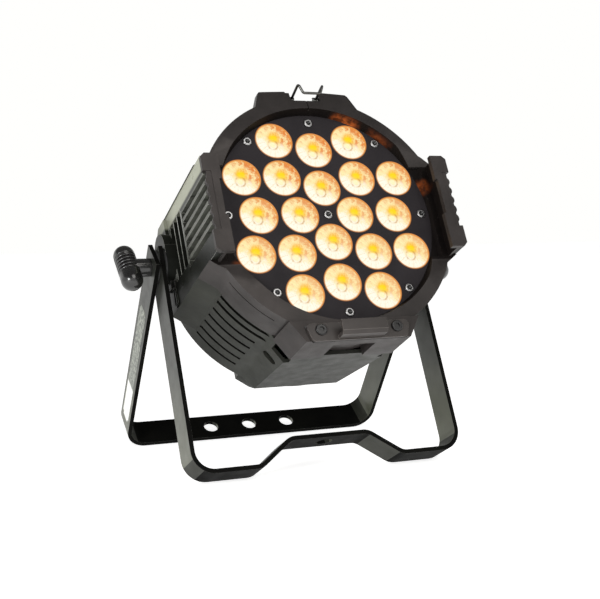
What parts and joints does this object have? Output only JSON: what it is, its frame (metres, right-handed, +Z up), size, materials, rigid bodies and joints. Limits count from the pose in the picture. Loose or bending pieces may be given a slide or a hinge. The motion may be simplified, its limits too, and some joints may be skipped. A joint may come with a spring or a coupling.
{
  "type": "par can stage light",
  "caption": "Round LED stage wash light with a lens array, a tilting head in a double U-bracket that stands or hangs, clamp knobs, a frame holder and rear controls.",
  "frame": {"origin": "middle of the bounding box's bottom face, on the floor under the light", "axes": "+Z up, -Y the way the light faces, +X to the right of someone who looks at the lenses; the hinge line runs along X"},
  "size_m": [0.3234, 0.2836, 0.337],
  "materials": {
    "cast_black": "fine-textured powder coat",
    "bracket_black": "satin powder coat",
    "plate_black": "matte",
    "holder_black": "satin",
    "lens_lit": "clear, lit from behind",
    "cup_black": "matte",
    "emitter_lit": "lit",
    "board_white": "solder mask",
    "board_green": "solder mask",
    "bare_aluminium": "extruded",
    "screw_bright": "plated",
    "screw_black": "black oxide",
    "spring_steel": "bright drawn",
    "stud_steel": "zinc plated",
    "knob_black": "glossy",
    "seal_rubber": "matte",
    "washer_fibre": "matte",
    "fan_black": "matte",
    "panel_black": "matte",
    "button_grey": "satin",
    "window_dark": "gloss",
    "socket_blue": "satin",
    "socket_grey": "satin",
    "socket_metal": "nickel"
  },
  "bodies": {
    "base": {"rear_bracket": "bracket_black", "leg_washers": "washer_fibre"},
    "front_leg": {"front_bracket": "bracket_black"},
    "head": {"front_ring": "cast_black", "face_plate": "plate_black", "lens_holders": "cup_black", "led_emitters": "emitter_lit", "led_board": "board_white", "heat_sink": "bare_aluminium", "face_screws": "screw_bright", "front_gasket": "seal_rubber", "main_housing": "cast_black", "side_panel_right": "cast_black", "side_panel_left": "cast_black", "accessory_holder": "holder_black", "holder_screws": "screw_black", "friction_washers": "washer_fibre", "rear_cover": "cast_black", "rear_screws": "screw_black", "fan_frame": "fan_black", "power_supply": "board_green", "control_board": "board_green", "control_panel": "panel_black", "display_window": "window_dark", "fuse_cap": "panel_black", "safety_eye": "stud_steel", "power_inlet": "socket_blue", "power_outlet": "socket_grey", "signal_input": "socket_metal", "signal_output": "socket_metal", "lens_01": "lens_lit", "lens_02": "lens_lit", "lens_03": "lens_lit", "lens_04": "lens_lit", "lens_05": "lens_lit", "lens_06": "lens_lit", "lens_07": "lens_lit", "lens_08": "lens_lit", "lens_09": "lens_lit", "lens_10": "lens_lit", "lens_11": "lens_lit", "lens_12": "lens_lit", "lens_13": "lens_lit", "lens_14": "lens_lit", "lens_15": "lens_lit", "lens_16": "lens_lit", "lens_17": "lens_lit", "lens_18": "lens_lit", "lens_19": "lens_lit", "lens_20": "lens_lit"},
    "knob_r": {"knob_right": "knob_black", "clamp_stud_right": "stud_steel"},
    "knob_l": {"knob_left": "knob_black", "clamp_stud_left": "stud_steel"},
    "clip": {"top_clip": "spring_steel"},
    "fan": {"fan_rotor": "fan_black"},
    "key_1": {"button_1": "button_grey"},
    "key_2": {"button_2": "button_grey"},
    "key_3": {"button_3": "button_grey"},
    "key_4": {"button_4": "button_grey"}
  },
  "joints": [
    {"name": "head_tilt", "type": "hinge", "parent": "base", "child": "head", "pos_m": [0, 0.01779, 0.17861], "axis": [-1, 0, 0], "range_deg": [-45, 115]},
    {"name": "front_swing", "type": "hinge", "parent": "base", "child": "front_leg", "pos_m": [0, 0.01779, 0.17861], "axis": [1, 0, 0], "range_deg": [-60, 59]},
    {"name": "knob_right_turn", "type": "hinge", "parent": "head", "child": "knob_r", "pos_m": [0.14, 0.01779, 0.17861], "axis": [1, 0, 0], "range_deg": [-360, 360]},
    {"name": "knob_left_turn", "type": "hinge", "parent": "head", "child": "knob_l", "pos_m": [-0.14, 0.01779, 0.17861], "axis": [-1, 0, 0], "range_deg": [-360, 360]},
    {"name": "clip_flip", "type": "hinge", "parent": "head", "child": "clip", "pos_m": [0, -0.01807, 0.32432], "axis": [-1, 0, 0], "range_deg": [0, 75], "stiffness_Nm_per_rad": 0.01, "springref_deg": -17.19},
    {"name": "fan_spin", "type": "hinge", "parent": "head", "child": "fan", "pos_m": [0, 0.06891, 0.19057], "axis": [0, -0.8894, 0.4571], "continuous": true},
    {"name": "key_1_press", "type": "slide", "parent": "head", "child": "key_1", "axis": [0, -0.8894, 0.4571], "range_m": [0, 0.0012], "stiffness_N_per_m": 120},
    {"name": "key_2_press", "type": "slide", "parent": "head", "child": "key_2", "axis": [0, -0.8894, 0.4571], "range_m": [0, 0.0012], "stiffness_N_per_m": 120},
    {"name": "key_3_press", "type": "slide", "parent": "head", "child": "key_3", "axis": [0, -0.8894, 0.4571], "range_m": [0, 0.0012], "stiffness_N_per_m": 120},
    {"name": "key_4_press", "type": "slide", "parent": "head", "child": "key_4", "axis": [0, -0.8894, 0.4571], "range_m": [0, 0.0012], "stiffness_N_per_m": 120}
  ]
}
